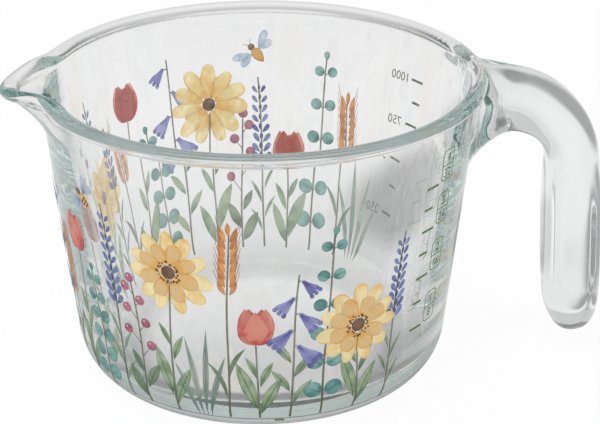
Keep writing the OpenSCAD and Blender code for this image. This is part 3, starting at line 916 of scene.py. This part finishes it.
def addBar(name, turn, z, start, end, thick):
    # a level bar from start to end
    along = np.linspace(0, 1, enamel["barCols"])[:, None]
    across = np.linspace(-1, 1, 3)
    u = start + (end - start) * along + np.zeros(3)
    addGrid(name, turn, u, z - across * thick / 2 + 0 * u, along, across)


def drawTicks(name, turn, stepMl):
    for k in range(2, 2 * scales["steps"] + 1):
        long = scales["longTick"] if k % 2 == 0 else scales["shortTick"]
        addBar(name, turn, levelOf(k * stepMl / 2), 0, long, scales["tick"])


def drawTag(z):
    # a round-cornered outline and a line across its middle
    wide, high, r, line = (scales[key] for key in ("tagWide", "tagHigh", "tagRound", "tagLine"))
    path = []
    for cx, cz, start in ((wide - r, r, -90), (wide - r, high - r, 0), (r, high - r, 90), (r, r, 180)):
        for k in range(scales["cornerSteps"] + 1):
            a = math.radians(start + 90 * k / scales["cornerSteps"])
            path.append((cx + r * math.cos(a), cz + r * math.sin(a), math.cos(a), math.sin(a)))
    path = np.array(path)[::-1]
    across = np.linspace(-1, 1, 3)
    off = -line * (0.5 - across / 2)
    ringU = tagLeft + path[:, :1] + off * path[:, 2:3]
    ringZ = z + path[:, 1:2] + off * path[:, 3:4]
    along = np.linspace(0, 1, len(path))[:, None]
    addGrid("cupScaleTags", scales["cupTurn"], ringU, ringZ, along, across, loop=True)
    right = tagLeft + wide - line
    addBar("cupScaleTags", scales["cupTurn"], z + high / 2, tagLeft + line, right, line)


drawTicks("cupScaleTicks", scales["cupTurn"], scales["cupMl"])
drawTicks("millilitreScaleTicks", scales["mlTurn"], scales["quarterMl"])
for k in range(1, scales["steps"] + 1):
    drawTag(levelOf(k * scales["cupMl"]))


def wearFilm(name, film):
    piece = meshObject(name, np.concatenate(film["points"]), np.concatenate(film["faces"]))
    for key in ("along", "across", "seed", "tone"):
        values = piece.data.attributes.new(key, "FLOAT", "POINT")
        values.data.foreach_set("value", np.concatenate(film[key]).astype(np.float32))
    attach(piece, "root")
    return piece


def addNumber(figures, body, turn, z, u, size):
    # plain figures, centred on u and standing on z
    points, faces = figures
    text = bpy.data.curves.new("figures", "FONT")
    text.body = str(body)
    text.size = size
    text.align_x = "CENTER"
    text.extrude = enamel["film"] / 2
    text.resolution_u = scales["curveSteps"]
    carrier = bpy.data.objects.new("figures", text)
    mesh = bpy.data.meshes.new_from_object(carrier)
    start = sum(len(p) for p in points)
    flat = np.array([v.co for v in mesh.vertices])
    lift = flat[:, 2] + enamel["gap"] + enamel["film"]
    points.append(onWall(turn, u + flat[:, 0], z + flat[:, 1], lift))
    faces += [[start + i for i in p.vertices] for p in mesh.polygons]
    bpy.data.objects.remove(carrier)
    bpy.data.curves.remove(text)
    bpy.data.meshes.remove(mesh)


def makeNumbers():
    figures = {"cupNumbers": ([], []), "millilitreNumbers": ([], [])}
    middle = tagLeft + scales["tagWide"] / 2
    right = scales["longTick"] + scales["mlFigureOff"]
    for k in range(1, scales["steps"] + 1):
        z = levelOf(k * scales["cupMl"])
        for body, key in ((k, "cupFigure"), (k * scales["ouncesEach"], "ounceFigure")):
            up, size = scales[key]
            addNumber(figures["cupNumbers"], body, scales["cupTurn"], z + up, middle, size)
        z = levelOf(k * scales["quarterMl"])
        up, size = scales["mlFigure"]
        addNumber(figures["millilitreNumbers"], k * scales["quarterMl"], scales["mlTurn"], z + up, right,
                  size)
    pieces = {}
    for name, (points, faces) in figures.items():
        pieces[name] = meshObject(name, np.concatenate(points), faces, shaded=False)
        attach(pieces[name], "root")
    return pieces


def nodeOf(name):
    # the solid that a film stands for
    return "".join("_" + c.lower() if c.isupper() else c for c in name)


printed = {name: wearFilm(name, film) for name, film in films.items()}
printed.update(makeNumbers())
for name in films:
    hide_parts(nodeOf(name))
    nodeOf(name) + "_enamel"
print("print laid", sum(len(p.data.polygons) for p in printed.values()), "faces")


def paint(*seen):
    # a colour as it is seen, 0 to 255, in the renderer's own scale
    return tuple(((c / 255 + 0.055) / 1.055) ** 2.4 for c in seen) + (1,)


# four numbers are a step: from, to, level before, level after
brushing = {
    "drift": 9.0,              # how far one stroke's noise lies from another's
    "washSize": 0.0045,        # m
    "washDetail": 3.0, "wash": (0.36, 0.64, -0.5, 0.5), "speckSize": 0.0009, "speckDetail": 2.0,
    "speck": (0.3, 0.7, -0.5, 0.5), "rimPower": 5.0, "tip": (0.8, 1.0, 0.0, 0.7),
    # shares of pigment: at the edge, everywhere, by speck and by stroke
    "edge": 0.42, "base": 0.16, "bySpeck": 0.22, "byStroke": 0.3, "heart": (0.0, 0.6, 1.0, 0.0),
    "cover": (0.0, 0.5, 0.78, 1.0), "gloss": (-0.5, 0.5, 0.3, 0.5), "washHeight": 0.6,
    "relief": (0.15, 0.0001),  # strength, height in m
}


def makeWatercolour():
    # brushed colour: a pale wash, pigment gathered at edges and roots, and an accent by coat
    group = bpy.data.node_groups.new("watercolour", "ShaderNodeTree")
    sockets = {"INPUT": "Wash Pool Accent Bleed Heart Cover", "OUTPUT": "Colour Cover Roughness Height"}
    for side, names in sockets.items():
        for name in names.split():
            kind = "Color" if name in ("Wash", "Pool", "Accent", "Colour") else "Float"
            group.interface.new_socket(name, in_out=side, socket_type="NodeSocket" + kind)
    given = group.nodes.new("NodeGroupInput").outputs
    result = group.nodes.new("NodeGroupOutput")
    place = newNode(group, "TexCoord").outputs["Object"]

    def reading(name):
        return newNode(group, "Attribute", attribute_name=name).outputs["Fac"]

    def cloud(name):
        at = {"Vector": place, "W": shift}
        fac = noise(group, at, brushing[name + "Size"], brushing[name + "Detail"], noise_dimensions="4D")
        return climb(group, fac, *brushing[name])

    def times(a, b):
        return maths(group, "MULTIPLY", a, b)

    def plus(a, b, clamp=False):
        return maths(group, "ADD", a, b, clamp)

    def blend(share, a, b):
        return newNode(group, "Mix", {"Factor": share, 6: a, 7: b}, data_type="RGBA").outputs[2]

    seed = reading("seed")
    shift = times(seed, brushing["drift"])
    wash = cloud("wash")
    speck = cloud("speck")
    rim = maths(group, "POWER", maths(group, "ABSOLUTE", reading("across")), brushing["rimPower"])
    tip = climb(group, reading("along"), *brushing["tip"])
    heart = climb(group, reading("along"), *brushing["heart"])
    pooled = plus(times(maths(group, "MAXIMUM", rim, tip), brushing["edge"]), brushing["base"])
    pooled = plus(pooled, times(heart, given["Heart"]))
    pooled = plus(pooled, times(wash, given["Bleed"]))
    pooled = plus(pooled, times(speck, brushing["bySpeck"]))
    pooled = plus(pooled, times(maths(group, "SUBTRACT", seed, 0.5), brushing["byStroke"]), clamp=True)
    colour = blend(reading("tone"), blend(pooled, given["Wash"], given["Pool"]), given["Accent"])
    cover = times(given["Cover"], climb(group, pooled, *brushing["cover"]))
    gloss = climb(group, speck, *brushing["gloss"])
    height = plus(times(wash, brushing["washHeight"]), speck)
    feed(group, result, {"Colour": colour, "Cover": cover, "Roughness": gloss, "Height": height})
    return group


watercolour = makeWatercolour()
# wash, pooled colour, accent, bleed, heart, cover
brushes = {
    "flowerStems": ((138, 136, 114), (96, 100, 82), (84, 88, 74), 0.5, 0.4, 0.85),
    "leafBlades": ((166, 186, 148), (104, 138, 104), (82, 110, 88), 0.9, 0.5, 0.84),
    "grassBlades": ((178, 194, 180), (120, 148, 140), (96, 124, 120), 0.9, 0.5, 0.8),
    "lavenderFlorets": ((134, 152, 206), (74, 88, 156), (58, 68, 130), 0.9, 0.4, 0.88),
    "coinLeaves": ((128, 184, 176), (62, 126, 124), (48, 102, 106), 1.0, 0.4, 0.84),
    "wheatEars": ((244, 184, 104), (212, 124, 56), (172, 96, 46), 0.8, 0.5, 0.88),
    "daisyPetals": ((253, 238, 182), (240, 192, 104), (222, 146, 70), 0.8, 0.75, 0.86),
    "daisyCentres": ((122, 80, 50), (70, 46, 36), (56, 40, 34), 0.6, 0.2, 0.95),
    "tulipPetals": ((240, 160, 140), (204, 86, 78), (168, 58, 60), 1.0, 0.6, 0.88),
    "bellflowers": ((158, 162, 214), (98, 98, 172), (76, 72, 144), 0.9, 0.5, 0.86),
    "berries": ((192, 108, 132), (130, 56, 88), (238, 206, 212), 0.8, 0.2, 0.92),
    "beeBodies": ((232, 180, 88), (188, 124, 50), (70, 54, 44), 0.6, 0.3, 0.92),
    "beeWings": ((208, 220, 232), (152, 176, 202), (118, 140, 168), 0.6, 0.4, 0.72),
    "cupScaleTicks": ((96, 128, 56), (74, 102, 42), (74, 102, 42), 0.3, 0.0, 1.0),
    "cupScaleTags": ((104, 134, 66), (80, 108, 48), (80, 108, 48), 0.3, 0.0, 1.0),
    "millilitreScaleTicks": ((84, 98, 80), (60, 74, 60), (60, 74, 60), 0.3, 0.0, 1.0),
    "cupNumbers": ((84, 112, 50), (66, 92, 40), (66, 92, 40), 0.3, 0.0, 1.0),
    "millilitreNumbers": ((84, 98, 80), (60, 74, 60), (60, 74, 60), 0.3, 0.0, 1.0),
}


def makeEnamel(name):
    look, tree, surface = newLook(name + "Enamel")
    *colours, bleed, heart, cover = brushes[name]
    wash, pool, accent = (paint(*c) for c in colours)
    given = {"Wash": wash, "Pool": pool, "Accent": accent, "Bleed": bleed, "Heart": heart, "Cover": cover}
    brush = newNode(tree, "Group", given, node_tree=watercolour).outputs
    feed(tree, surface, {"Base Color": brush["Colour"], "Roughness": brush["Roughness"],
                         "Alpha": brush["Cover"]})
    addRelief(tree, surface, brush["Height"], *brushing["relief"])
    return look


for name, piece in printed.items():
    piece.data.materials.append(makeEnamel(name))
print("enamel mixed")


# studio: a white floor, a white surround and a tent of grey cards that draws the glass's edges, m
studio = {
    "floorSize": 6.0, "floorDrop": 0.0004, "floorColour": (0.9, 0.9, 0.9, 1),
    "floorGlow": 0.9,     # share of the floor's white that shadows don't reach
    # the table as the glass shows it, with painted shade round the jug that is darkest under the heel: mm
    # from the bowl's axis, level
    "tableShadeFront": ((38, 0.65), (50, 0.22), (66, 0.22), (85, 0.5), (125, 0.75), (160, 1.0)),
    "tableShadeBack": ((38, 0.9), (50, 0.65), (66, 0.65), (90, 0.72), (150, 0.8), (240, 0.85), (600, 0.72)),
    "tableReach": 700.0,
    "tableSoft": 0.03,    # how softly the front goes over to the back
    "shadowCentre": (0.092, 0.096, 0),  # a painted shadow of the bowl on the table, behind the handle, seen only through the glass
    "shadowSoft": (0.022, 0.052), "shadowLevel": 0.35,
    # the tent: degrees up, level
    "tentRadius": 1.3, "tentMesh": (64, 32),
    "tentBack": ((8, 0.6), (20, 0.6), (27, 0.16), (55, 0.08), (70, 0.45)),
    "tentSide": ((8, 0.6), (22, 0.5), (32, 0.42), (62, 0.5), (78, 0.85)),
    "tentFront": ((8, 0.65), (20, 0.52), (30, 0.36), (60, 0.42), (80, 0.45)),
    "sideSoft": (0.35, 0.75),           # how softly the sides go over to back and front
    "worldLevel": 0.75, "lampSpot": (-0.3, -0.2, 1.6), "lampAim": (0, 0, 0.05), "lampSize": 0.9,
    "lampPower": 10.0,
}


def ramp(tree, value, stops, full):
    # levels along a value, smooth between the stops
    node = newNode(tree, "ValToRGB", {"Fac": maths(tree, "DIVIDE", value, full)})
    node.color_ramp.interpolation = "EASE"
    elements = node.color_ramp.elements
    elements.remove(elements[1])
    elements[0].position = 0.0
    elements[0].color = (*[stops[0][1]] * 3, 1)
    for at, level in stops:
        elements.new(at / full).color = (level, level, level, 1)
    return node.outputs["Color"]


def mixed(tree, share, a, b):
    return newNode(tree, "Mix", {"Factor": share, "A": a, "B": b}).outputs["Result"]


def rayIs(tree, kind):
    return newNode(tree, "LightPath").outputs[kind]


def seenWhite(tree):
    # 1 where the camera looks, straight or through glass or in a reflection
    seen = maths(tree, "MAXIMUM", rayIs(tree, "Is Camera Ray"), rayIs(tree, "Is Glossy Ray"))
    return maths(tree, "MAXIMUM", seen, rayIs(tree, "Is Transmission Ray"))


def litMatte(tree, level):
    # 1 for light that a matte surface gathers through the glass, else the level given
    gathered = maths(tree, "MINIMUM", rayIs(tree, "Diffuse Depth"), 1.0)
    return maths(tree, "MAXIMUM", gathered, level)


def makeWorld():
    world = bpy.data.worlds.new("surround")
    scene.world = world
    world.use_nodes = True
    tree = world.node_tree
    level = climb(tree, seenWhite(tree), 0.0, 1.0, studio["worldLevel"], 1.0)
    feed(tree, tree.nodes["Background"], {"Color": (1, 1, 1, 1), "Strength": level})


def vectorMaths(tree, kind, place, other=(0, 0, 0)):
    node = newNode(tree, "VectorMath", {0: place, 1: other}, operation=kind)
    return node.outputs["Vector" if kind == "NORMALIZE" else "Value"]


def partOf(tree, vector, axis):
    return newNode(tree, "SeparateXYZ", {0: vector}).outputs[axis]


def tableGlow(tree):
    # white straight from the camera; through glass the table's glow carries painted shade, darkest in a ring
    # under the heel, and a painted shadow behind the handle
    place = newNode(tree, "NewGeometry").outputs["Position"]
    far = maths(tree, "DIVIDE", vectorMaths(tree, "LENGTH", place), mm)
    front, back = (ramp(tree, far, studio[k], studio["tableReach"]) for k in ("tableShadeFront", "tableShadeBack"))
    behind = climb(tree, partOf(tree, place, "Y"), -studio["tableSoft"], studio["tableSoft"], 0.0, 1.0)
    aside = vectorMaths(tree, "DISTANCE", place, studio["shadowCentre"])
    shadow = climb(tree, aside, *studio["shadowSoft"], studio["shadowLevel"], 1.0)
    # painted shade: the glow that the glass shows is darkened round the jug and in the painted shadow
    paintedShade = maths(tree, "MULTIPLY", mixed(tree, behind, front, back), shadow)
    return litMatte(tree, maths(tree, "MAXIMUM", rayIs(tree, "Is Camera Ray"), paintedShade))


def stageGlow(name, level):
    # a material that only glows, at the level that the function makes in its tree
    look, tree, surface = newLook(name)
    tree.nodes.remove(surface)
    glow = newNode(tree, "Emission", {"Strength": level(tree)}).outputs[0]
    feed(tree, tree.nodes["Material Output"], {"Surface": glow})
    return look, tree, glow


def makeFloor():
    bpy.ops.mesh.primitive_plane_add(size=studio["floorSize"], location=(0, 0, -studio["floorDrop"]))
    floor = bpy.context.object
    floor.name = "floor"
    look, tree, glow = stageGlow("whiteFloor", tableGlow)
    matte = newNode(tree, "BsdfDiffuse", {"Color": studio["floorColour"]}).outputs[0]
    share = maths(tree, "MULTIPLY", seenWhite(tree), studio["floorGlow"])
    mix = newNode(tree, "MixShader", {0: share, 1: matte, 2: glow}).outputs[0]
    feed(tree, tree.nodes["Material Output"], {"Surface": mix})
    floor.data.materials.append(look)


def tentGlow(tree):
    place = newNode(tree, "NewGeometry").outputs["Position"]
    aim = vectorMaths(tree, "NORMALIZE", place)
    up = maths(tree, "DEGREES", maths(tree, "ARCSINE", partOf(tree, aim, "Z")))
    back, side, front = (ramp(tree, up, studio[k], 90) for k in ("tentBack", "tentSide", "tentFront"))
    low, high = studio["sideSoft"]
    level = mixed(tree, climb(tree, partOf(tree, aim, "Y"), low, high, 0.0, 1.0), side, back)
    level = mixed(tree, climb(tree, partOf(tree, aim, "Y"), -high, -low, 1.0, 0.0), level, front)
    return litMatte(tree, level)


def makeTent():
    across, up = studio["tentMesh"]
    bpy.ops.mesh.primitive_uv_sphere_add(segments=across, ring_count=up, radius=studio["tentRadius"],
                                         location=(0, 0, 0))
    tent = bpy.context.object
    tent.name = "cardTent"
    tent.visible_camera = False
    tent.visible_diffuse = False
    tent.visible_shadow = False
    tent.data.materials.append(stageGlow("greyCards", tentGlow)[0])


def makeLamp():
    light = bpy.data.lights.new("topLamp", "AREA")
    light.shape = "SQUARE"
    light.size = studio["lampSize"]
    light.energy = studio["lampPower"]
    lamp = bpy.data.objects.new("topLamp", light)
    lamp.location = studio["lampSpot"]
    aim = Vector(studio["lampAim"]) - Vector(studio["lampSpot"])
    lamp.rotation_euler = aim.to_track_quat("-Z", "Y").to_euler()
    scene.collection.objects.link(lamp)


makeWorld()
makeFloor()
makeTent()
makeLamp()
print("studio set")
